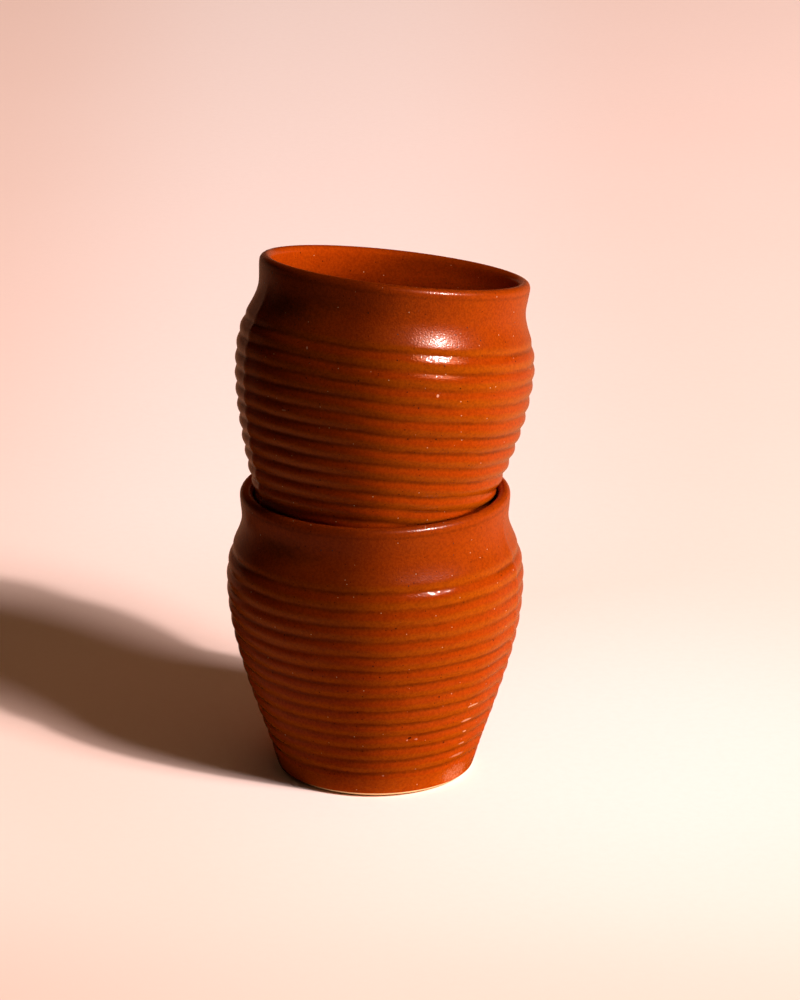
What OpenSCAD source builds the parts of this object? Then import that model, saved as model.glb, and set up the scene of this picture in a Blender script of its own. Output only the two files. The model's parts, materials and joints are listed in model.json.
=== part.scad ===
// Two alike clay tea cups with ringed walls, the upper one leaning in the mouth of the lower one.
// The origin is on the table under the middle of the lower cup, with +Z up and -Y to the front.

/* [Cup shape] */
// Height of one cup, table to rim
cup_h = 85; // [78:0.5:100]
// Diameter at which the line of the lower wall reaches the table
foot_d = 56; // [50:0.5:62]
// Outward lean of the wall at the foot, in degrees
foot_flare = 17.5; // [12:0.5:22]
// Rounding of the bottom corner
foot_round = 3.2; // [2.6:0.1:4]
// Greatest diameter, at the belly
belly_d = 86; // [80:0.5:94]
// Height of the belly above the table
belly_h = 58; // [50:0.5:60]
// Diameter of the shoulder, where its curve turns from full to hollow
shoulder_d = 80.8; // [79:0.2:82]
// Depth of the shoulder below the rim
shoulder_drop = 15; // [13:0.5:17]
// Inward lean of the wall at the shoulder, in degrees
shoulder_lean = 24.5; // [12:0.5:28]
// Least diameter, at the neck
neck_d = 76.9; // [74:0.1:78]
// Depth of the neck below the rim
neck_drop = 7.8; // [6:0.1:10]
// Outside diameter of the lip
lip_d = 77.8; // [76:0.1:82]
// Thickness of the rounded lip
lip_t = 3.6; // [2.4:0.1:4.4]

/* [Wall and base] */
// Thickness of the finished wall, over the ring crests
wall_t = 3.2; // [2.6:0.1:4.4]
// Height of the inside floor above the table
floor_h = 6; // [4:0.1:9]
// Rounding between the inside floor and the wall
floor_round = 9; // [4:0.5:14]
// Width of the flat ring that the cup stands on
foot_ring_w = 4; // [2:0.1:8]
// Depth of the hollow under the base
base_hollow = 1.5; // [0.5:0.1:2.5]

/* [Rings] */
// Number of raised rings round the wall
ring_count = 13; // [6:1:18]
// Height of the lowest groove above the table
ring_low_h = 8.3; // [7:0.1:14]
// Depth of the highest groove below the rim
ring_top_drop = 18.3; // [16:0.1:26]
// Depth of the grooves between the rings
ring_depth = 0.4; // [0.2:0.05:0.8]
// Width of each groove, from crest to crest
groove_w = 2.8; // [1.6:0.1:4]
// How much taller the highest ring is than the lowest
ring_growth = 0.7; // [0:0.1:1.5]

/* [Glaze] */
// Thickness of the glaze coat, measured level
glaze_t = 0.4; // [0.2:0.05:0.7]
// Height of the bare clay below the outside glaze
bare_foot_h = 1.6; // [0.7:0.1:2]

/* [Stack] */
// Lean of the upper cup, in degrees
stack_lean = 10.5; // [0:0.1:14]
// Compass direction of the lean, in degrees from +X towards +Y
stack_dir = 53; // [0:1:360]
// Level gap between the upper cup and the inside of the lower lip
seat_gap = 0.3; // [0.1:0.05:0.8]

/* [Hidden] */
$fn = 96;

// Steps along the curves of the outline
ring_steps = 10;
wall_steps = 6;
arc_steps = 6;
// Halvings of the search for the seat of the upper cup
seat_tries = 40;
// Sample spacing along the wall in that search
seat_step = 0.5;

// Glaze thickness square to the leaning foot wall
foot_coat = glaze_t * cos(foot_flare);
// Bottom corner of the clay: an arc that is level at the table and meets the leaning wall
clay_foot_r = foot_d / 2 - glaze_t;
corner_r = clay_foot_r - foot_round * tan((90 - foot_flare) / 2);
corner_top_h = foot_round * (1 - sin(foot_flare));
corner_top_r = corner_r + foot_round * cos(foot_flare) + glaze_t;
// Angle up the corner at which the outside glaze stops
glaze_start = acos(1 - bare_foot_h / foot_round);

// Middle of the lip's round section
lip_mid_r = lip_d / 2 - lip_t / 2;
lip_mid_h = cup_h - lip_t / 2;

// Places that the outside passes through: height, radius and slope
knots = [[corner_top_h, corner_top_r, tan(foot_flare)],
         [belly_h, belly_d / 2, 0],
         [cup_h - shoulder_drop, shoulder_d / 2, -tan(shoulder_lean)],
         [cup_h - neck_drop, neck_d / 2, 0],
         [lip_mid_h, lip_d / 2, 0]];

// Smooth curve between two knots
function span_r(a, b, t) =
    let (h = b[0] - a[0], s = t * t * (3 - 2 * t))
    a[1] * (1 - s) + b[1] * s + h * t * (1 - t) * (a[2] * (1 - t) - b[2] * t);
// Number of the span that holds height z
function span_at(z, i = 0) = i >= len(knots) - 2 || z <= knots[i + 1][0] ? i : span_at(z, i + 1);
// Radius over the ring crests at height z
function crest_r(z) =
    let (i = span_at(z), a = knots[i], b = knots[i + 1])
    span_r(a, b, (z - a[0]) / (b[0] - a[0]));

// Rings: grooves stand a little further apart from the lowest to the highest
ring_top_h = cup_h - ring_top_drop;
ring_low_pitch = (ring_top_h - ring_low_h) / ring_count - ring_growth / 2;
ring_gain = ring_growth / (ring_count - 1);
function groove_h(i) = ring_low_h + i * ring_low_pitch + ring_gain * i * (i - 1) / 2;
function ring_pitch(i) = ring_low_pitch + ring_gain * i;
// Depth cut at a distance d from the middle of a groove between rings of the given pitch
function groove_cut(d, pitch) =
    let (w = min(groove_w, pitch))
    d >= w / 2 ? 0 : ring_depth * pow(cos(180 * d / w), 2);

// Outside wall points, each as radius over the glaze and height
lower_reach = ring_low_pitch / 2;
upper_reach = ring_pitch(ring_count - 1) / 2;
foot_band = [for (k = [0 : wall_steps - 1])
    let (z = corner_top_h + (ring_low_h - lower_reach - corner_top_h) * k / wall_steps)
    [crest_r(z), z]];
low_flank = [for (k = [0 : ring_steps / 2 - 1])
    let (d = lower_reach * (1 - 2 * k / ring_steps), z = ring_low_h - d)
    [crest_r(z) - groove_cut(d, ring_low_pitch), z]];
rings = [for (i = [0 : ring_count - 1], k = [0 : ring_steps - 1])
    let (u = k / ring_steps, pitch = ring_pitch(i), z = groove_h(i) + pitch * u)
    [crest_r(z) - groove_cut(pitch * min(u, 1 - u), pitch), z]];
top_flank = [for (k = [0 : ring_steps / 2 - 1])
    let (d = upper_reach * 2 * k / ring_steps, z = ring_top_h + d)
    [crest_r(z) - groove_cut(d, 2 * upper_reach), z]];
shoulder_low_h = ring_top_h + upper_reach;
shoulder_band = [for (k = [0 : 2 * wall_steps - 1])
    let (z = shoulder_low_h + (lip_mid_h - shoulder_low_h) * k / (2 * wall_steps))
    [crest_r(z), z]];
wall_points = concat(foot_band, low_flank, rings, top_flank, shoulder_band);

// Arc points about a middle, from angle a to angle b, where 0 points down and 90 points out
function arc(mid, r, a, b) = [for (k = [0 : arc_steps])
    let (w = a + (b - a) * k / arc_steps)
    mid + r * [sin(w), -cos(w)]];
function reversed(p) = [for (i = [len(p) - 1 : -1 : 0]) p[i]];
function after_first(p) = [for (i = [1 : len(p) - 1]) p[i]];

// Outline of the outside from the foot to the top of the lip, coat away from the finished surface
function outside(coat, start) = concat(
    arc([corner_r, foot_round], foot_round + foot_coat * (1 - coat / glaze_t), start, 90 - foot_flare),
    [for (p = after_first(wall_points)) p - [coat, 0]],
    arc([lip_mid_r, lip_mid_h], lip_t / 2 - coat, 90, 180));

// Inside: a wall that follows the outside and turns into a level floor
turn_h = floor_h + floor_round * (1 - sin(foot_flare));
slope_step = 0.01;
turn_lean = atan((crest_r(turn_h + slope_step) - crest_r(turn_h)) / slope_step);
turn_round = (turn_h - floor_h) / (1 - sin(turn_lean));
turn_mid = [crest_r(turn_h) - wall_t - turn_round * cos(turn_lean), floor_h + turn_round];
inner_steps = 6 * wall_steps;
lip_inner_r = lip_d / 2 - lip_t;
// Stretch below the lip in which the inside eases from the lip to the even wall
lip_ease_h = neck_drop - lip_t / 2;
function inner_r(z) =
    let (t = max(0, min(1, (lip_mid_h - z) / lip_ease_h)), s = t * t * (3 - 2 * t))
    (crest_r(z) - wall_t) * s + lip_inner_r * (1 - s);
// Outline of the inside from the top of the lip to the middle of the floor
function inside(coat) = concat(
    arc([lip_mid_r, lip_mid_h], lip_t / 2 - coat, 180, 270),
    [for (k = [1 : inner_steps - 1])
        let (z = lip_mid_h + (turn_h - lip_mid_h) * k / inner_steps)
        [inner_r(z) + coat, z]],
    reversed(arc(turn_mid, turn_round + coat * cos(turn_lean), 0, 90 - turn_lean)),
    [[0, floor_h - coat * cos(turn_lean)]]);

// Underside: a flat ring to stand on round a shallow hollow
ring_inner_r = corner_r - foot_ring_w;
underside = [[0, base_hollow], [ring_inner_r - base_hollow, base_hollow], [ring_inner_r, 0]];

// Seat of the upper cup, worked out in the plane of its lean.
// Both sides of its outline, from the foot up, are set seat_gap inside the mouth of the lower cup.
seat_points = [for (p = outside(0, 0)) if (p[1] < belly_h) p];
seat_samples = [for (i = [0 : len(seat_points) - 2])
    let (a = seat_points[i], b = seat_points[i + 1], n = ceil((b[1] - a[1]) / seat_step))
    for (k = [0 : n - 1]) a + (b - a) * k / n];
function leaned(p, side) = [side * p[0] * cos(stack_lean) + p[1] * sin(stack_lean),
                            p[1] * cos(stack_lean) - side * p[0] * sin(stack_lean)];
near_side = [for (p = seat_samples) leaned(p, 1)];
far_side = [for (p = seat_samples) leaned(p, -1)];
// Free radius of the mouth at height z
function mouth_r(z) =
    z >= cup_h ? belly_d :
    z > lip_mid_h ? lip_mid_r - sqrt(pow(lip_t / 2, 2) - pow(z - lip_mid_h, 2)) :
    inner_r(max(z, turn_h));
// How far one side stands past the mouth when the cup is lifted by z
function past_mouth(points, side, z) =
    max([for (p = points) side * p[0] + seat_gap - mouth_r(p[1] + z)]);
function seat_lift(low, high, tries) =
    let (z = (low + high) / 2)
    tries == 0 ? z :
    past_mouth(near_side, 1, z) + past_mouth(far_side, -1, z) > 0 ?
        seat_lift(z, high, tries - 1) : seat_lift(low, z, tries - 1);
stack_h = seat_lift(turn_h, cup_h + belly_d * sin(stack_lean), seat_tries);
stack_shift = -past_mouth(near_side, 1, stack_h);

module clay() {
    rotate_extrude()
        polygon(concat(underside, outside(glaze_t, 0), after_first(inside(glaze_t))));
}

module outer_glaze() {
    rotate_extrude()
        polygon(concat(outside(0, glaze_start), reversed(outside(glaze_t, glaze_start))));
}

module liner_glaze() {
    rotate_extrude()
        polygon(concat(inside(0), reversed(inside(glaze_t))));
}

// Sets a cup in the mouth of the lower one, leaning in the stack direction
module stacked() {
    rotate(stack_dir)
        translate([stack_shift, 0, stack_h])
            rotate([0, stack_lean, 0])
                rotate(-stack_dir)
                    children();
}

module lower_clay_body() {
    color("bisque") clay();
}

module lower_outer_glaze() {
    color("chocolate") outer_glaze();
}

module lower_liner_glaze() {
    color("sienna") liner_glaze();
}

module upper_clay_body() {
    color("bisque") stacked() clay();
}

module upper_outer_glaze() {
    color("chocolate") stacked() outer_glaze();
}

module upper_liner_glaze() {
    color("sienna") stacked() liner_glaze();
}

lower_clay_body();
lower_outer_glaze();
lower_liner_glaze();
upper_clay_body();
upper_outer_glaze();
upper_liner_glaze();
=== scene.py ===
import bpy
import json
import math
from mathutils import Matrix, Vector

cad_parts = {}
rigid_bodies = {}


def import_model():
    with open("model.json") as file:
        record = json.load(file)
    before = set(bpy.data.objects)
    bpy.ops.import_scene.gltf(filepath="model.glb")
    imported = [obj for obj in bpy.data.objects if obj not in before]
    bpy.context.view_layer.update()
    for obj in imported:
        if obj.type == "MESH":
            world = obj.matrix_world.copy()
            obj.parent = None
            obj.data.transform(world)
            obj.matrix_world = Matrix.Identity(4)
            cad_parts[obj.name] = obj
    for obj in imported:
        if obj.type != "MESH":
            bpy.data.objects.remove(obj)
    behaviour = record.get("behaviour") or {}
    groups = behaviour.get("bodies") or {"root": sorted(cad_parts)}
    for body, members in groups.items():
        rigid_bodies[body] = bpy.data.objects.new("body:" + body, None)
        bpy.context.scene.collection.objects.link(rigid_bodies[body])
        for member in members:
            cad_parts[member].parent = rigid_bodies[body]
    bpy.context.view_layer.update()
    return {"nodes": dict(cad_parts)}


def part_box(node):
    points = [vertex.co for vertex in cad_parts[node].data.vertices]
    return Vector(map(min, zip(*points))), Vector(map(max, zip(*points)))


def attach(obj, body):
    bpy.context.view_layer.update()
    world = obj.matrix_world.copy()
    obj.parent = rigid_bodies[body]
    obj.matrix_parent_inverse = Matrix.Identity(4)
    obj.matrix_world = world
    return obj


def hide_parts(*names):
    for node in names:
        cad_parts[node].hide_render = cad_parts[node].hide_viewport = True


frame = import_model()
mm = 0.001
print("frame loaded:", len(frame["nodes"]), "nodes")

# sizes of one cup, over the glaze, as the solids have them
cup = {
    "height": 85 * mm,
    "footD": 56 * mm,
    "footFlare": math.radians(17.5),
    "footRound": 3.2 * mm,
    "bellyD": 86 * mm,
    "bellyH": 58 * mm,
    "shoulderD": 80.8 * mm,
    "shoulderDrop": 15 * mm,
    "shoulderLean": math.radians(24.5),
    "neckD": 76.9 * mm,
    "neckDrop": 7.8 * mm,
    "lipD": 77.8 * mm,
    "lipT": 3.6 * mm,
    "wallT": 3.2 * mm,
    "floorH": 6 * mm,
    "floorRound": 9 * mm,
    "glazeT": 0.4 * mm,
    "bareFootH": 1.6 * mm,
}

# the raised rings round the wall
ring = {
    "count": 13,
    "lowH": 8.3 * mm,
    "topDrop": 18.3 * mm,
    "depth": 0.56 * mm,
    "softness": 0.2,
    "gains": (1.15, 0.82),  # deeper low down than at the belly
    "gainsTo": (42 * mm, 16 * mm),
    "grooveW": 2.8 * mm,
    "growth": 0.7 * mm,
    "steps": 16,
}

# the two cups: seam angles are counted from +X, the mould's halves meet there
cups = {
    "lower": {"seam": math.radians(-18), "lean": 0, "leanDir": 0, "sink": 0, "gain": 1, "topGain": 1.1},
    "upper": {
        "seam": math.radians(-156.5),
        "lean": math.radians(10.5),
        "leanDir": math.radians(53),
        "sink": 0.012 * mm,
        "gain": 1.2,
        "topGain": 0.92,
    },
}


def smooth(t):
    t = min(max(t, 0), 1)
    return t * t * (3 - 2 * t)


# knots of the outside: height, radius, slope
cornerTan = math.tan((math.pi / 2 - cup["footFlare"]) / 2)
cornerR = cup["footD"] / 2 - cup["glazeT"] - cup["footRound"] * cornerTan
cornerTopH = cup["footRound"] * (1 - math.sin(cup["footFlare"]))
cornerTopR = cornerR + cup["footRound"] * math.cos(cup["footFlare"]) + cup["glazeT"]
lipMidR = cup["lipD"] / 2 - cup["lipT"] / 2
lipMidH = cup["height"] - cup["lipT"] / 2
knots = [
    (cornerTopH, cornerTopR, math.tan(cup["footFlare"])),
    (cup["bellyH"], cup["bellyD"] / 2, 0),
    (cup["height"] - cup["shoulderDrop"], cup["shoulderD"] / 2, -math.tan(cup["shoulderLean"])),
    (cup["height"] - cup["neckDrop"], cup["neckD"] / 2, 0),
    (lipMidH, cup["lipD"] / 2, 0),
]
ringTopH = cup["height"] - ring["topDrop"]
lowPitch = (ringTopH - ring["lowH"]) / ring["count"] - ring["growth"] / 2
pitchGain = ring["growth"] / (ring["count"] - 1)
grooves = [ring["lowH"] + i * lowPitch + pitchGain * i * (i - 1) / 2 for i in range(ring["count"] + 1)]


def crestR(z):
    spans = [i for i in range(len(knots) - 1) if z <= knots[i + 1][0]]
    i = spans[0] if spans else len(knots) - 2
    a, b = knots[i], knots[i + 1]
    h = b[0] - a[0]
    t = (z - a[0]) / h
    s = t * t * (3 - 2 * t)
    return a[1] * (1 - s) + b[1] * s + h * t * (1 - t) * (a[2] * (1 - t) - b[2] * t)


def ringPhase(z):
    # 0 in a groove, up to 1 in the next one above
    below = [i for i in range(ring["count"]) if grooves[i] <= z]
    i = below[-1] if below else 0
    return min(max((z - grooves[i]) / (grooves[i + 1] - grooves[i]), -0.5), 1.5)


def grooveGap(z):
    # distance from the nearest groove, and which side of it: up to 1 just above, down to -1 just below
    gap = min(abs(z - groove) for groove in grooves)
    return gap, math.sin(2 * math.pi * ringPhase(z))


def grooveCut(z, ringGain, topGain):
    # round rings with narrow grooves between them
    soft = ring["softness"]
    low, high = ring["gains"]
    gain = low + (high - low) * smooth((z - ring["gainsTo"][0]) / ring["gainsTo"][1])
    depth = ring["depth"] * (topGain if z > (grooves[-2] + grooves[-1]) / 2 else gain * ringGain)
    return depth * (math.hypot(1, soft) - math.hypot(math.sin(math.pi * ringPhase(z)), soft))


def spread(a, b, n):
    return [a + (b - a) * k / n for k in range(n)]


def arc(midR, midH, r, a, b, n):
    # 0 points down, a quarter turn points out
    return [(midR + r * math.sin(w), midH - r * math.cos(w)) for w in spread(a, b, n) + [b]]


def outerOutline(coat, ringGain=1, topGain=1):
    # from the foot up to the top of the lip, coat inside the finished surface
    flare = cup["footFlare"]
    footCoat = cup["glazeT"] * math.cos(flare) * (1 - coat / cup["glazeT"])
    start = math.acos(1 - cup["bareFootH"] / cup["footRound"])
    ringsFrom, ringsTo = grooves[0] - lowPitch / 2, ringTopH + lowPitch / 2
    heights = spread(cornerTopH, ringsFrom, 6)[1:] + spread(ringsFrom, grooves[0], 6)
    for a, b in zip(grooves[:-1], grooves[1:]):
        heights += spread(a, b, ring["steps"])
    heights += spread(ringTopH, ringsTo, 9) + spread(ringsTo, lipMidH, 22)
    wall = [(crestR(z) - grooveCut(z, ringGain, topGain) - coat, z) for z in heights]
    foot = arc(cornerR, cup["footRound"], cup["footRound"] + footCoat, start, math.pi / 2 - flare, 6)
    lip = arc(lipMidR, lipMidH, cup["lipT"] / 2 - coat, math.pi / 2, math.pi, 9)
    return foot + wall + lip


def linerOutline(coat):
    # from the top of the lip down to the middle of the floor
    turnH = cup["floorH"] + cup["floorRound"] * (1 - math.sin(cup["footFlare"]))
    lean = math.atan((crestR(turnH + 0.01 * mm) - crestR(turnH)) / (0.01 * mm))
    turnRound = (turnH - cup["floorH"]) / (1 - math.sin(lean))
    turnMidR = crestR(turnH) - cup["wallT"] - turnRound * math.cos(lean)
    easeH = cup["neckDrop"] - cup["lipT"] / 2
    wall = []
    for z in spread(lipMidH, turnH, 60)[1:]:
        s = smooth((lipMidH - z) / easeH)
        wall.append(((crestR(z) - cup["wallT"]) * s + (cup["lipD"] / 2 - cup["lipT"]) * (1 - s) + coat, z))
    lip = arc(lipMidR, lipMidH, cup["lipT"] / 2 - coat, math.pi, 3 * math.pi / 2, 9)
    cornerOut = turnRound + coat * math.cos(lean)
    corner = arc(turnMidR, cup["floorH"] + turnRound, cornerOut, math.pi / 2 - lean, 0, 12)
    floorH = cup["floorH"] - coat * math.cos(lean)
    return lip + wall + corner + [(r, floorH) for r in spread(turnMidR, 0, 8)[1:]] + [(0, floorH)]


def lathe(name, outline, closed, turns, startAngle):
    # a vertex drawn along the outline, then spun round the axis
    bpy.ops.object.select_all(action="DESELECT")
    bpy.ops.mesh.primitive_plane_add(size=1 * mm, location=(0, 0, 0))
    piece = bpy.context.object
    piece.name = piece.data.name = name
    c, s = math.cos(startAngle), math.sin(startAngle)
    points = [Vector((r * c, r * s, z)) for r, z in outline + (outline[:1] if closed else [])]
    bpy.ops.object.mode_set(mode="EDIT")
    bpy.ops.mesh.select_all(action="SELECT")
    bpy.ops.mesh.merge(type="CENTER")
    bpy.ops.transform.translate(value=points[0])
    for a, b in zip(points[:-1], points[1:]):
        bpy.ops.mesh.extrude_region_move(TRANSFORM_OT_translate={"value": b - a})
    bpy.ops.mesh.select_all(action="SELECT")
    for steps, angle in turns:
        bpy.ops.mesh.spin(steps=steps, angle=angle, center=(0, 0, 0), axis=(0, 0, 1))
    bpy.ops.mesh.select_all(action="SELECT")
    bpy.ops.mesh.remove_doubles(threshold=0.002 * mm)
    bpy.ops.mesh.normals_make_consistent(inside=False)
    bpy.ops.object.mode_set(mode="OBJECT")
    return piece


def seatOf(box, outline, axis):
    # where a turned, leaning outline has to stand to fill the box
    lows = []
    for i in range(3):
        reach = math.sqrt(1 - axis[i] ** 2)
        lows.append(box[0][i] - min(z * axis[i] - r * reach for r, z in outline))
    return Vector(lows)


def placeCup(piece, which):
    # leans a finished upright piece into its seat
    lean, leanDir = cups[which]["lean"], cups[which]["leanDir"]
    axis = (math.sin(lean) * math.cos(leanDir), math.sin(lean) * math.sin(leanDir), math.cos(lean))
    turn = Matrix.Rotation(leanDir, 4, "Z") @ Matrix.Rotation(lean, 4, "Y")
    turn = turn @ Matrix.Rotation(-leanDir, 4, "Z")
    outline = outerOutline(0) + outerOutline(cup["glazeT"])
    seat = seatOf(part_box(which + "_outer_glaze"), outline, axis) - Vector((0, 0, cups[which]["sink"]))
    piece.matrix_world = Matrix.Translation(seat) @ turn
    bpy.ops.object.select_all(action="DESELECT")
    piece.select_set(True)
    bpy.context.view_layer.objects.active = piece
    bpy.ops.object.transform_apply(location=True, rotation=True, scale=True)
    print(which, "cup piece", piece.name, "seated at", [round(v / mm, 2) for v in seat])


# small unevenness of the outside: worn wall, wandering rings, and the mould's seams
uneven = {
    "wallNoise": 0.16 * mm,
    "wallGrain": 14 * mm,
    "ringWander": 0.75 * mm,
    "wanderGrain": 19 * mm,
    "seamRise": 0.28 * mm,
    "seamWidth": 0.5 * mm,
    "seamBaseRise": 0.2 * mm,
    "seamBaseWidth": 2.4 * mm,
    "seamStep": 0.2 * mm,
    "seamStepWidth": 5 * mm,
    "seamStepEdge": 0.5 * mm,
    "seamArc": math.radians(12),
    "seamSteps": 34,
    "plainSteps": 96,
}


def addDisplace(piece, group, direction, strength, grain=None):
    mod = piece.modifiers.new(group, "DISPLACE")
    mod.vertex_group = group
    mod.direction = direction
    mod.strength = strength
    mod.mid_level = 0
    if grain:
        cloud = bpy.data.textures.new(group, "CLOUDS")
        cloud.noise_scale = grain
        cloud.noise_depth = 2
        mod.texture = cloud
        mod.texture_coords = "LOCAL"
        mod.mid_level = 1 if direction == "NORMAL" else 0.5  # the wall is only ever worn inwards
    bpy.ops.object.modifier_apply(modifier=mod.name)


def weigh(piece, name, weightOf):
    group = piece.vertex_groups.new(name=name)
    for v in piece.data.vertices:
        w = weightOf(v.co)
        if w > 0.001:
            group.add([v.index], w, "REPLACE")


def vectorAttribute(piece, name, vectorOf):
    attribute = piece.data.attributes.new(name, "FLOAT_VECTOR", "POINT")
    attribute.data.foreach_set("vector", [n for v in piece.data.vertices for n in vectorOf(v.co)])


def ringPlace(co):
    # how far a point lies from its groove, in half grooves, on which side, and whether it is on the neck
    gap, side = grooveGap(co.z)
    return min(2 * gap / ring["grooveW"], 1), side, smooth((co.z - ringTopH) / (3 * mm))


def outerGlaze(which):
    seam = cups[which]["seam"]
    half = uneven["seamArc"] / 2
    turns = [(uneven["seamSteps"], 2 * half), (uneven["plainSteps"], math.pi - 2 * half)] * 2
    gains = cups[which]["gain"], cups[which]["topGain"]
    backing = outerOutline(cup["glazeT"], *gains)
    backing = backing[:1] + backing[3:-9:4] + backing[-9::3]
    piece = lathe(which + "OuterGlaze", outerOutline(0, *gains) + backing[::-1], True, turns, seam - half)
    vectorAttribute(piece, "ringPlace", ringPlace)
    vectorAttribute(piece, "upright", tuple)

    def wallMask(co):
        return smooth((co.z - 3 * mm) / (5 * mm)) * smooth((cup["height"] - 5 * mm - co.z) / (6 * mm))

    def seamArcs(co):
        turn = (math.atan2(co.y, co.x) - seam + math.pi / 2) % math.pi - math.pi / 2
        return turn * math.hypot(co.x, co.y)

    def ridge(width):
        return lambda co: math.exp(-(seamArcs(co) / width) ** 2) * wallMask(co)

    def ledge(co):
        # one half of the mould stands a little proud of the other
        arcs = seamArcs(co)
        proud = smooth(0.5 - arcs / uneven["seamStepEdge"])
        return proud * math.exp(-abs(arcs) / uneven["seamStepWidth"]) * wallMask(co)

    bpy.context.view_layer.objects.active = piece
    weigh(piece, "wallNoise", wallMask)
    weigh(piece, "seam", ridge(uneven["seamWidth"]))
    weigh(piece, "seamBase", ridge(uneven["seamBaseWidth"]))
    weigh(piece, "seamStep", ledge)
    addDisplace(piece, "seam", "NORMAL", uneven["seamRise"])
    addDisplace(piece, "seamBase", "NORMAL", uneven["seamBaseRise"])
    addDisplace(piece, "seamStep", "NORMAL", uneven["seamStep"])
    addDisplace(piece, "wallNoise", "Z", uneven["ringWander"], uneven["wanderGrain"])
    addDisplace(piece, "wallNoise", "NORMAL", uneven["wallNoise"], uneven["wallGrain"])
    piece.vertex_groups.clear()
    bpy.ops.object.select_all(action="DESELECT")
    piece.select_set(True)
    bpy.ops.object.shade_smooth_by_angle(angle=math.radians(50))
    placeCup(piece, which)
    return piece


def linerGlaze(which):
    backing = linerOutline(cup["glazeT"])
    backing = backing[:1] + backing[4:-1:3] + backing[-1:]
    piece = lathe(which + "LinerGlaze", linerOutline(0) + backing[::-1], False, [(192, 2 * math.pi)], 0)
    bpy.ops.object.select_all(action="DESELECT")
    piece.select_set(True)
    bpy.ops.object.shade_smooth_by_angle(angle=math.radians(50))
    placeCup(piece, which)
    return piece


# the clay under the glazes, which shows only at the foot
body = {
    "ringW": 4 * mm,
    "hollow": 1.5 * mm,
    "hollowRound": 1.5 * mm,
    "inset": 0.6 * mm,
    "insetFrom": 1.5 * mm,
    "turnMarks": 9,
    "markDepth": 0.12 * mm,
    "markSteps": 8,
}


def clayOutline():
    # from the middle of the underside, round the foot, up the wall and down the inside
    ringInR = cornerR - body["ringW"]
    flatR = ringInR - body["hollow"]
    under = []
    steps = body["turnMarks"] * body["markSteps"]
    for k in range(steps):
        u = k / steps
        wave = math.sin(math.pi * u * body["turnMarks"]) ** 2
        under.append((u * flatR, body["hollow"] - body["markDepth"] * wave))
    roundH = body["hollow"] - body["hollowRound"]
    under += arc(flatR, roundH, body["hollowRound"], math.pi, math.pi / 2, 6)[:-1]
    under += [(ringInR, 0.25 * mm), (ringInR + 0.25 * mm, 0)]
    foot = arc(cornerR, cup["footRound"], cup["footRound"], 0, math.pi / 2 - cup["footFlare"], 14)
    # the wall steps in under the glaze, so that its rings can wander
    heights = spread(cornerTopH + body["insetFrom"], lipMidH, 40)
    wall = [(crestR(z) - cup["glazeT"] - body["inset"], z) for z in heights]
    lip = arc(lipMidR, lipMidH, cup["lipT"] / 2 - cup["glazeT"] - body["inset"], math.pi / 2, math.pi, 4)
    inside = linerOutline(cup["glazeT"])[10:]
    return under + foot + wall + lip + inside


def clayBody(which):
    piece = lathe(which + "ClayBody", clayOutline(), False, [(160, 2 * math.pi)], 0)
    bpy.ops.object.select_all(action="DESELECT")
    piece.select_set(True)
    bpy.ops.object.shade_smooth_by_angle(angle=math.radians(50))
    placeCup(piece, which)
    return piece


class Wire:
    # a socket that takes part in sums
    def __init__(self, paint, socket):
        self.paint, self.socket = paint, socket

    def calc(self, operation, a, b):
        return self.paint.maths(operation, {0: a, 1: b})

    def __add__(self, other):
        return self.calc("ADD", self, other)

    def __radd__(self, other):
        return self.calc("ADD", other, self)

    def __sub__(self, other):
        return self.calc("SUBTRACT", self, other)

    def __rsub__(self, other):
        return self.calc("SUBTRACT", other, self)

    def __mul__(self, other):
        return self.calc("MULTIPLY", self, other)

    def __rmul__(self, other):
        return self.calc("MULTIPLY", other, self)

    def __truediv__(self, other):
        return self.calc("DIVIDE", self, other)


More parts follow.
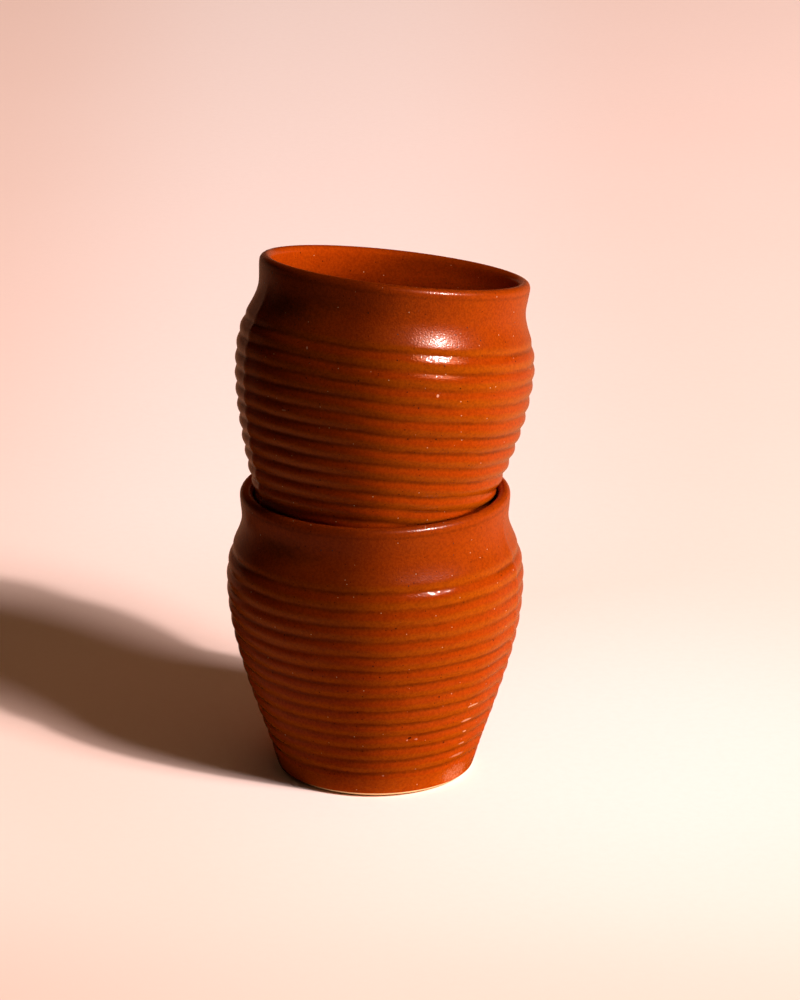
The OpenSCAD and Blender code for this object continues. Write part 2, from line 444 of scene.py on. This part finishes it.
class Paint:
    # one material and the nodes in it
    def __init__(self, name):
        self.material = bpy.data.materials.new(name)
        self.material.use_nodes = True
        self.tree = self.material.node_tree
        self.shader = self.tree.nodes["Principled BSDF"]

    def node(self, kind, settings, sockets, out=0):
        made = self.tree.nodes.new(kind)
        for key, value in settings.items():
            setattr(made, key, value)
        for key, value in sockets.items():
            self.feed(made.inputs[key], value)
        return Wire(self, made.outputs[out])

    def feed(self, target, value):
        if isinstance(value, Wire):
            self.tree.links.new(value.socket, target)
        else:
            target.default_value = value

    def shade(self, **sockets):
        for key, value in sockets.items():
            self.feed(self.shader.inputs[key.replace("_", " ")], value)

    def mix(self, factor, a, b, blend="MIX"):
        colors = {"Factor": factor, 6: a, 7: b}
        return self.node("ShaderNodeMix", {"data_type": "RGBA", "blend_type": blend}, colors, 2)

    def step(self, value, low, high):
        ends = {"Value": value, "From Min": low, "From Max": high}
        return self.node("ShaderNodeMapRange", {"interpolation_type": "SMOOTHSTEP"}, ends)

    def vector(self, operation, sockets, out=0):
        return self.node("ShaderNodeVectorMath", {"operation": operation}, sockets, out)

    def maths(self, operation, sockets):
        return self.node("ShaderNodeMath", {"operation": operation}, sockets)

    def noise(self, where, scale, detail, rough):
        fields = {"Vector": where, "Scale": scale, "Detail": detail, "Roughness": rough}
        return self.node("ShaderNodeTexNoise", {}, fields)

    def spots(self, where, places, ragged, soft=0.4):
        # the strongest of some ragged spots, each longer along the ring than up
        total = 0
        for center, along, up, strength in places:
            away = self.vector("SUBTRACT", {0: where, 1: Vector(center) * mm})
            size = [1 / (along * mm), 1 / (along * mm), 1 / (up * mm)]
            scaled = self.vector("MULTIPLY", {0: away, 1: size})
            out = self.vector("LENGTH", {0: scaled}, "Value")
            spot = self.step(out + ragged, 1.0, 1.0 - soft) * strength
            total = self.maths("MAXIMUM", {0: spot, 1: total})
        return total

    def specks(self, where, scale, radius, keep):
        # round spots in a share of the cells of a voronoi pattern
        cell = self.node("ShaderNodeTexVoronoi", {}, {"Vector": where, "Scale": scale})
        tint = Wire(self, cell.socket.node.outputs["Color"])
        chance = self.node("ShaderNodeSeparateColor", {}, {"Color": tint})
        return self.step(cell, radius, radius * 0.6) * self.step(chance, 1 - keep, 1.001 - keep)


# glaze colours and finish
glaze = {
    "amber": (0.44, 0.059, 0.0012, 1),
    "rust": (0.40, 0.046, 0.0009, 1),
    # olive and breakRed on the rings also paint light: lighter on their undersides, darker on their top
    # flanks
    "olive": (0.43, 0.067, 0.0010, 1),
    # pool: glaze pooled in the grooves, dark enough to paint their shade as well
    "pool": (0.18, 0.022, 0.0007, 1),
    "breakRed": (0.43, 0.037, 0.0010, 1),
    "neck": (0.35, 0.034, 0.0009, 1),
    "iron": (0.03, 0.006, 0.002, 1),
    # painted shade for the left of each neck
    "neckShade": (0.07, 0.015, 0.001, 1),
    "pale": (0.90, 0.55, 0.33, 1),
    "scuff": (0.86, 0.35, 0.21, 1),
    "dark": (0.45, 0.40, 0.40, 1),
    # height of the painted shade line under the lip
    "lipShadeLineH": 82.4 * mm,
    "shares": {  # how far each colour takes over
        "olive": 0.75,
        "breakRed": 0.6,
        "neck": 0.5,
        "groove": 0.72,
        "lipShadeLine": 0.35,
        "grit": 0.4,
        "iron": 0.9,
        "ironDust": 0.7,
        "pale": 0.6,
    },
    "ironSpecks": (290, 0.085, 0.65),  # cells in a metre, radius in cells, share of cells that have one
    "ironDust": (620, 0.14, 0.4),
    "paleSpecks": (400, 0.08, 0.42),
    "stretch": (0.18, 0.18, 1),  # streaks run along the rings
    "roughness": 0.115,
    "neckRoughness": 0.11,
    "gloss": 0.28,
    "peelDepth": 0.055 * mm,
    "peelTurn": {"Axis": (0.5, 0.6, 0.4), "Angle": 0.9},
}

# single marks on the outsides, in mm: where, half length along the ring, half height, strength
marks = {
    "scuffs": [
        ((28.06, -23.98, 26.96), 2.3, 0.4, 0.65),
        ((26.22, -23.72, 22.27), 2.6, 0.5, 0.55),
        ((25.67, -22.32, 18.35), 0.9, 0.35, 0.65),
        ((24.84, -21.06, 14.17), 1.6, 0.35, 0.45),
        ((23.56, -20.56, 10.43), 3.0, 0.5, 0.3),
        ((9.2, -33.35, 19.7), 0.4, 0.3, 0.7),
        ((11.7, -32.6, 19.7), 0.6, 0.35, 0.5),
        ((2.24, -30.21, 7.56), 0.4, 0.3, 0.4),
        ((17.73, -36.35, 123.78), 0.5, 0.5, 1.0),
        ((-18.88, -30.08, 135.88), 0.45, 0.4, 0.8),
        ((-25.46, -28.9, 117.31), 0.9, 0.3, 0.5),
    ],
    # painted shade on the left of each neck, where neither the key nor the floor's light reaches
    "neckShade": [
        ((-24.49, -18.88, 144.21), 19, 6.5, 0.75),
        ((-13.70, -25.86, 147.47), 10, 3.6, 0.4),
        ((-27.32, -26.88, 75.76), 17, 5.6, 0.65),
        ((-19.44, -33.17, 74.89), 9.0, 3.0, 0.35),
    ],
    "worn": [
        ((22.73, -18.05, 3.73), 6.0, 3.4, 0.42),
    ],
    "pits": [
        ((9.98, -33.13, 20.3), 0.6, 0.35, 1.0),
        ((18.37, -34.2, 33.25), 0.4, 0.4, 1.0),
        ((-38.49, -5.69, 127.82), 0.45, 0.6, 1.0),
        ((-38.22, -8.87, 113.48), 0.4, 0.4, 1.0),
    ],
}


def glazePaint(name, ringed):
    paint = Paint(name)
    where = paint.node("ShaderNodeTexCoord", {}, {}, "Object")
    mottle = paint.noise(where, 70, 3, 0.6)
    fine = paint.noise(where, 420, 3, 0.6)
    color = paint.mix(paint.step(mottle * 0.7 + fine * 0.3, 0.35, 0.65), glaze["rust"], glaze["amber"])
    shares = glaze["shares"]
    if ringed:
        ragged = (paint.noise(where, 1800, 2, 0.6) - 0.5) * 1.6
        kinds = ("scuffs", "worn", "pits")
        scuffed, worn, pitted = [paint.spots(where, marks[kind], ragged) for kind in kinds]
        # painted shade on the necks' left, with the neck tone kept off it
        neckShaded = paint.spots(where, marks["neckShade"], (fine - 0.5) * 0.5, 0.9)
        color = paint.mix(neckShaded, color, glaze["neckShade"])
        scuffed = scuffed + worn * paint.step(paint.noise(where, 1500, 4, 0.8), 0.35, 0.75)
        place = paint.node("ShaderNodeAttribute", {"attribute_name": "ringPlace"}, {}, "Vector")
        split = paint.node("ShaderNodeSeparateXYZ", {}, {"Vector": place})
        gap, side, neck = [Wire(paint, split.socket.node.outputs[axis]) for axis in "XYZ"]
        upright = paint.node("ShaderNodeAttribute", {"attribute_name": "upright"}, {}, "Vector")
        along = paint.vector("MULTIPLY", {0: upright, 1: glaze["stretch"]})
        streak = paint.noise(along, 800, 3, 0.65)
        ragged = (fine - 0.5) * 0.5 + (streak - 0.5) * 1.6
        above = paint.step(side + ragged, 0.0, 0.9)
        below = paint.step(0 - side + ragged, -0.1, 0.8)
        height = paint.node("ShaderNodeSeparateXYZ", {}, {"Vector": upright}, "Z")
        # painted shade: a dark line under the lip, standing in for the shade of a fine step there that is
        # not modelled
        lipOff = paint.maths("ABSOLUTE", {0: height - glaze["lipShadeLineH"]})
        lipShadeLine = paint.step(lipOff / mm + ragged * 0.3, 0.7, 0.1)
        # darker in the grooves: glaze pooled there, and painted shade of the grooves too
        groove = paint.step(gap + ragged * 0.5, 0.7, 0.0)
        groove = groove * (paint.step(paint.noise(along, 260, 2, 0.5), 0.35, 0.65) * 0.65 + 0.35)
        # olive and red glaze tones; the olive paints light onto the rings' undersides and the red paints
        # shade onto their top flanks, evening out the rings' shading
        color = paint.mix(above * shares["olive"], color, glaze["olive"])
        color = paint.mix(below * shares["breakRed"], color, glaze["breakRed"])
        color = paint.mix(neck * (1 - neckShaded) * shares["neck"], color, glaze["neck"])
        color = paint.mix(groove * shares["groove"], color, glaze["pool"])
        color = paint.mix(lipShadeLine * shares["lipShadeLine"], color, glaze["pool"])
    else:
        color = paint.mix(shares["breakRed"], color, glaze["breakRed"])
    grit = paint.step(paint.noise(where, 1300, 2, 0.7), 0.62, 0.36)
    color = paint.mix(grit * shares["grit"], color, glaze["dark"], "MULTIPLY")
    iron = paint.specks(where, *glaze["ironSpecks"])
    ironDust = paint.specks(where, *glaze["ironDust"])
    pale = paint.specks(where, *glaze["paleSpecks"])
    color = paint.mix(iron * shares["iron"], color, glaze["iron"])
    color = paint.mix(ironDust * shares["ironDust"], color, glaze["iron"])
    color = paint.mix(pale * shares["pale"], color, glaze["pale"])
    rough = glaze["roughness"] + (mottle - 0.5) * 0.06 + iron * 0.15
    if ringed:
        color = paint.mix(scuffed, color, glaze["scuff"])
        color = paint.mix(pitted, color, glaze["iron"])
        rough = rough + scuffed * 0.3 + neck * glaze["neckRoughness"]
    # turned, so that the grain doesn't line up with the rings
    turned = paint.node("ShaderNodeVectorRotate", {}, {"Vector": where, **glaze["peelTurn"]})
    peel = paint.noise(turned, 2100, 1, 0.5)
    peeled = {"Strength": 1, "Distance": glaze["peelDepth"], "Height": peel}
    bump = paint.node("ShaderNodeBump", {}, peeled)
    paint.shade(Base_Color=color, Roughness=rough, Normal=bump)
    paint.shade(Specular_IOR_Level=glaze["gloss"])
    return paint.material


# bare fired clay at the foot
clay = {
    "pale": (0.97, 0.63, 0.35, 1),
    "warm": (0.94, 0.56, 0.29, 1),
    "grit": (0.30, 0.16, 0.09, 1),
    "gritSpecks": (520, 0.12, 0.4),
    "roughness": 0.85,
    "grainDepth": 0.08 * mm,
}


def clayPaint(name):
    paint = Paint(name)
    where = paint.node("ShaderNodeTexCoord", {}, {}, "Object")
    tone = paint.noise(where, 180, 4, 0.6)
    grain = paint.noise(where, 1500, 3, 0.6)
    color = paint.mix(paint.step(tone, 0.35, 0.7), clay["pale"], clay["warm"])
    color = paint.mix(paint.specks(where, *clay["gritSpecks"]) * 0.7, color, clay["grit"])
    grained = {"Strength": 0.5, "Distance": clay["grainDepth"], "Height": grain}
    bump = paint.node("ShaderNodeBump", {}, grained)
    paint.shade(Base_Color=color, Roughness=clay["roughness"] + (grain - 0.5) * 0.2, Normal=bump)
    return paint.material


outerPaint = glazePaint("outerGlaze", True)
linerPaint = glazePaint("linerGlaze", False)
barePaint = clayPaint("bareClay")
print("materials made")

for which in cups:
    for build, node, slot, paint in (
        (clayBody, which + "_clay_body", "bare_clay", barePaint),
        (outerGlaze, which + "_outer_glaze", "outer_glaze", outerPaint),
        (linerGlaze, which + "_liner_glaze", "liner_glaze", linerPaint),
    ):
        piece = build(which)
        piece.data.materials.append(paint)
        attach(piece, which + "_cup")
        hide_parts(node)
        print(piece.name, len(piece.data.polygons), "faces")

# pale peach floor with the lamps' falloff painted in, paler towards their side; ramps run from where they
# start to where they are full
stageSet = {
    "size": 16,
    "drop": 0.02 * mm,
    "peach": (0.97, 0.68, 0.62, 1),
    "blush": (0.90, 0.58, 0.50, 1),
    "fade": 260 * mm,
    # painted shade: dimmer towards the front left corner and along the front
    "dusk": (0.78, 0.48, 0.40, 1),
    "duskFrom": (20 * mm, -60 * mm),
    "duskTo": (-150 * mm, -220 * mm),
    "duskFront": (-95 * mm, -200 * mm),
    "duskFrontShare": 0.45,
    "fleckShare": 0.06,
    # painted light: the cream is a painted pool of light beside the foot and a paler band in the middle
    # behind
    "cream": (0.97, 0.74, 0.70, 1),  # palest in a pool beside the foot, and in the middle behind
    "poolAt": (75 * mm, 10 * mm, 0),
    "poolTo": (180 * mm, 20 * mm),
    "middle": -25 * mm,
    "middleTo": (150 * mm, 20 * mm),
    "middleFrom": (80 * mm, 250 * mm),
    "middleShare": 0.8,
    "leftBounce": (0.54, 0.47, 0.37, 1),  # what it throws back on the cups, from either side
    "rightBounce": (0.95, 0.81, 0.65, 1),
    "rightFrom": (10 * mm, 80 * mm),
    "farShares": (0.2, 0.16),  # what is left of that far off, on either side
    "footShares": (0.1, 0.5),  # and close to the foot
    "footTo": (28 * mm, 75 * mm),
    "footRight": (-30 * mm, 10 * mm),
    "footGlow": (38 * mm, 31 * mm),  # bright again just before the foot, in front
    "glowRight": (-30 * mm, 0),
    "glowFront": (10 * mm, -10 * mm),
    "nearTo": 70 * mm,
    "farFrom": 180 * mm,
    "mirrored": (0.46, 0.20, 0.115, 1),  # what the glaze mirrors of it behind the cups, less on the left
    "mirrorTo": (-0.45, 0.5),
    "mirrorLean": 0.6,
    "leftShare": 0.5,
    "sideShare": 0.3,  # and close by on either side
    "sideTo": (20 * mm, 90 * mm),
    "sideFade": (300 * mm, 100 * mm),
}


def floorPaint():
    # pale where it is seen, and dimmer where the cups mirror it or it throws light back on them
    paint = Paint("floor")
    where = paint.node("ShaderNodeTexCoord", {}, {}, "Object")
    split = paint.node("ShaderNodeSeparateXYZ", {}, {"Vector": where})
    across, deep = split, Wire(paint, split.socket.node.outputs["Y"])
    # painted lamp falloff: pinker and dimmer towards the left
    leftwards = paint.step(across, stageSet["fade"], -stageSet["fade"])
    cloud = paint.noise(where, 6, 4, 0.6) * 0.3 + leftwards * 0.7
    seen = paint.node("ShaderNodeLightPath", {}, {}, "Is Camera Ray")
    glossy = Wire(paint, seen.socket.node.outputs["Is Glossy Ray"])
    pale = paint.mix(cloud, stageSet["peach"], stageSet["blush"])
    corner = 1
    for reach, low, high in zip((across, deep), stageSet["duskFrom"], stageSet["duskTo"]):
        corner = corner * paint.step(reach, low, high)
    # painted pool of light beside the foot, and a paler band in the middle behind
    poolOff = paint.vector("DISTANCE", {0: where, 1: stageSet["poolAt"]}, "Value")
    middleOff = paint.maths("ABSOLUTE", {0: across - stageSet["middle"]})
    middle = paint.step(middleOff, *stageSet["middleTo"]) * paint.step(deep, *stageSet["middleFrom"])
    pool = paint.step(poolOff, *stageSet["poolTo"])
    palest = paint.maths("MAXIMUM", {0: pool, 1: middle * stageSet["middleShare"]})
    pale = paint.mix(palest, pale, stageSet["cream"])
    # painted shade at the front left corner and along the front
    pale = paint.mix(corner, pale, stageSet["dusk"])
    front = paint.step(deep, *stageSet["duskFront"])
    pale = paint.mix(front * stageSet["duskFrontShare"], pale, stageSet["dusk"])
    flecks = paint.step(paint.noise(where, 350, 4, 0.75), 0.35, 0.7)
    pale = paint.mix(flecks * stageSet["fleckShare"], pale, stageSet["dusk"])
    out = paint.vector("LENGTH", {0: where}, "Value")
    side = paint.step(across, *stageSet["rightFrom"])
    leftOff = paint.maths("MINIMUM", {0: across, 1: 0})
    behind = paint.step((deep + leftOff * stageSet["mirrorLean"]) / out, *stageSet["mirrorTo"])
    behind = behind * (side * (1 - stageSet["leftShare"]) + stageSet["leftShare"])
    off = paint.maths("ABSOLUTE", {0: across})
    beside = paint.step(off, *stageSet["sideTo"]) * paint.step(out, *stageSet["sideFade"])
    share = paint.maths("MAXIMUM", {0: behind, 1: beside * stageSet["sideShare"]})
    mirror = paint.mix(share, (0, 0, 0, 1), stageSet["mirrored"])
    farLeft, farRight = stageSet["farShares"]
    far = side * (farRight - farLeft) + farLeft
    near = paint.step(out, stageSet["farFrom"], stageSet["nearTo"]) * (1 - far) + far
    footLeft, footRight = stageSet["footShares"]
    foot = paint.step(across, *stageSet["footRight"]) * (footRight - footLeft) + footLeft
    near = near * (paint.step(out, *stageSet["footTo"]) * (1 - foot) + foot)
    glow = paint.step(out, *stageSet["footGlow"]) * paint.step(across, *stageSet["glowRight"])
    glow = glow * paint.step(deep, *stageSet["glowFront"])
    bounce = paint.mix(near, (0, 0, 0, 1), paint.mix(side, stageSet["leftBounce"], stageSet["rightBounce"]))
    bounce = paint.mix(glow, bounce, stageSet["rightBounce"])
    unseen = paint.mix(glossy, bounce, mirror)
    paint.shade(Base_Color=paint.mix(seen, unseen, pale), Roughness=0.9)
    paint.shade(Specular_IOR_Level=0)
    return paint.material


bpy.ops.object.select_all(action="DESELECT")
bpy.ops.mesh.primitive_plane_add(size=stageSet["size"], location=(0, 0, -stageSet["drop"]))
floor = bpy.context.object
floor.name = "floor"
floor.data.materials.append(floorPaint())

# a key with its glints in either cup, a hot middle in a wide dish; the same further off for the floor;
# and four soft fills. turn is counted from the camera's side towards +X, both angles in degrees
# turn, rise, distance and size in metres, power, what it lights, rays that see it
lamps = {
    "key": (52.5, 41, 0.9, 0.25, 2.45, "cups", "diffuse"),
    "lowerGlint": (52.5, 41, 0.9, 0.041, 12, "lower", "glossy"),
    "lowerDish": (52.5, 41, 0.9, 0.3, 3.6, "lower", "glossy"),
    "upperGlint": (56, 41, 0.9, 0.06, 9.5, "upper", "glossy"),
    "upperDish": (56, 41, 0.9, 0.45, 8, "upper", "glossy"),
    "floorCore": (50, 38.5, 4, 0.18, 126, "floor", "diffuse"),
    "floorDish": (50, 38.5, 4, 1.12, 190, "floor", "diffuse"),
    "sideFill": (80.5, 5, 1.5, 0.5, 38, "cups", "diffuse"),
    "backFill": (185, 12, 1.5, 0.8, 12, "cups", "diffuse"),
    "floorFill": (0, 85, 3, 3, 13.5, "floor", "diffuse"),
    "insideFill": (20, 50, 1, 0.3, 2.3, "inside", "diffuse"),
}
light = {
    "aim": Vector((0, 0, 70 * mm)),
    "color": (1.0, 0.97, 0.94),
    "tints": {
        "key": (1.0, 0.88, 0.82),
        "lowerDish": (1.0, 0.33, 0.13),
        "upperDish": (1.0, 0.33, 0.13),
        "sideFill": (1.0, 1.0, 0.9),
        "floorFill": (1.0, 0.67, 0.35),
    },
    "surround": (1.0, 0.61, 0.34, 1),
    "surroundLevel": 0.008,
    "backdrop": (1.0, 0.80, 0.72, 1),
    "mirrored": (0.56, 0.245, 0.14, 1),  # the backdrop as the glaze mirrors it
    "mirrorLow": 0.14,
}


def addLamp(name, lamp):
    turn, rise, far, size, power, lit, rays = lamp
    turn, rise = math.radians(turn), math.radians(rise)
    data = bpy.data.lights.new(name, "AREA")
    data.shape = "DISK"
    data.size = size
    data.energy = power
    data.color = light["tints"].get(name, light["color"])
    made = bpy.data.objects.new(name, data)
    bpy.context.scene.collection.objects.link(made)
    towards = Vector((math.cos(rise) * math.sin(turn), -math.cos(rise) * math.cos(turn), math.sin(rise)))
    made.location = light["aim"] + towards * far
    made.rotation_mode = "QUATERNION"
    made.rotation_quaternion = towards.to_track_quat("Z", "Y")
    made.visible_camera = False
    made.visible_diffuse = rays == "diffuse"
    made.visible_glossy = rays == "glossy"
    data.cycles.use_multiple_importance_sampling = rays == "glossy"
    # flagged, so that it lights only the floor, all but the floor, one cup's outside or the open inside
    flag = bpy.data.collections.new(name + "Flag")
    glazed = {"lower": "lowerOuterGlaze", "upper": "upperOuterGlaze", "inside": "upperLinerGlaze"}
    flag.objects.link(bpy.data.objects[glazed.get(lit, floor.name)])
    for link in flag.collection_objects:
        link.light_linking.link_state = "EXCLUDE" if lit == "cups" else "INCLUDE"
    made.light_linking.receiver_collection = flag


for name, lamp in lamps.items():
    addLamp(name, lamp)

# a dim warm surround for the light, a pale backdrop where it is seen, and a low band behind in the glaze
world = bpy.data.worlds.new("surround")
world.use_nodes = True


class Sky(Paint):
    # the same for the nodes of the world
    def __init__(self, world):
        self.tree = world.node_tree
        self.shader = self.tree.nodes["Background"]


sky = Sky(world)
towards = sky.node("ShaderNodeTexCoord", {}, {}, "Generated")
split = sky.node("ShaderNodeSeparateXYZ", {}, {"Vector": towards})
across, deep, high = [Wire(sky, split.socket.node.outputs[axis]) for axis in "XYZ"]
seen = sky.node("ShaderNodeLightPath", {}, {}, "Is Camera Ray")
glossy = Wire(sky, seen.socket.node.outputs["Is Glossy Ray"])
leftOff = sky.maths("MINIMUM", {0: across, 1: 0})
behind = sky.step(deep + leftOff * stageSet["mirrorLean"], *stageSet["mirrorTo"])
behind = behind * (sky.step(across, -0.3, 0.3) * (1 - stageSet["leftShare"]) + stageSet["leftShare"])
band = behind * sky.step(high, light["mirrorLow"], 0)
mirror = sky.mix(band, (0, 0, 0, 1), light["mirrored"])
dim = [part * light["surroundLevel"] for part in light["surround"][:3]] + [1]
sky.shade(Color=sky.mix(seen, sky.mix(glossy, dim, mirror), light["backdrop"]))
bpy.context.scene.world = world
print("floor and lamps set")

# the photograph's view: focal length in pixels of its 1000 pixel height
viewSet = {
    "focal": 5600,
    "frameHeight": 1000,
    "sensor": 36,
    "down": math.radians(18.565),
    "eye": (7.12, -1527.94, 594.11),
}
cameraData = bpy.data.cameras.new("photoView")
cameraData.sensor_width = viewSet["sensor"]
cameraData.lens = viewSet["focal"] / viewSet["frameHeight"] * viewSet["sensor"]
cameraData.clip_start = 0.05
cameraData.clip_end = 50
camera = bpy.data.objects.new("photoView", cameraData)
bpy.context.scene.collection.objects.link(camera)
camera.location = Vector(viewSet["eye"]) * mm
camera.rotation_euler = (math.pi / 2 - viewSet["down"], 0, 0)
bpy.context.scene.camera = camera
bpy.context.scene.view_settings.view_transform = "Standard"
print("camera set")
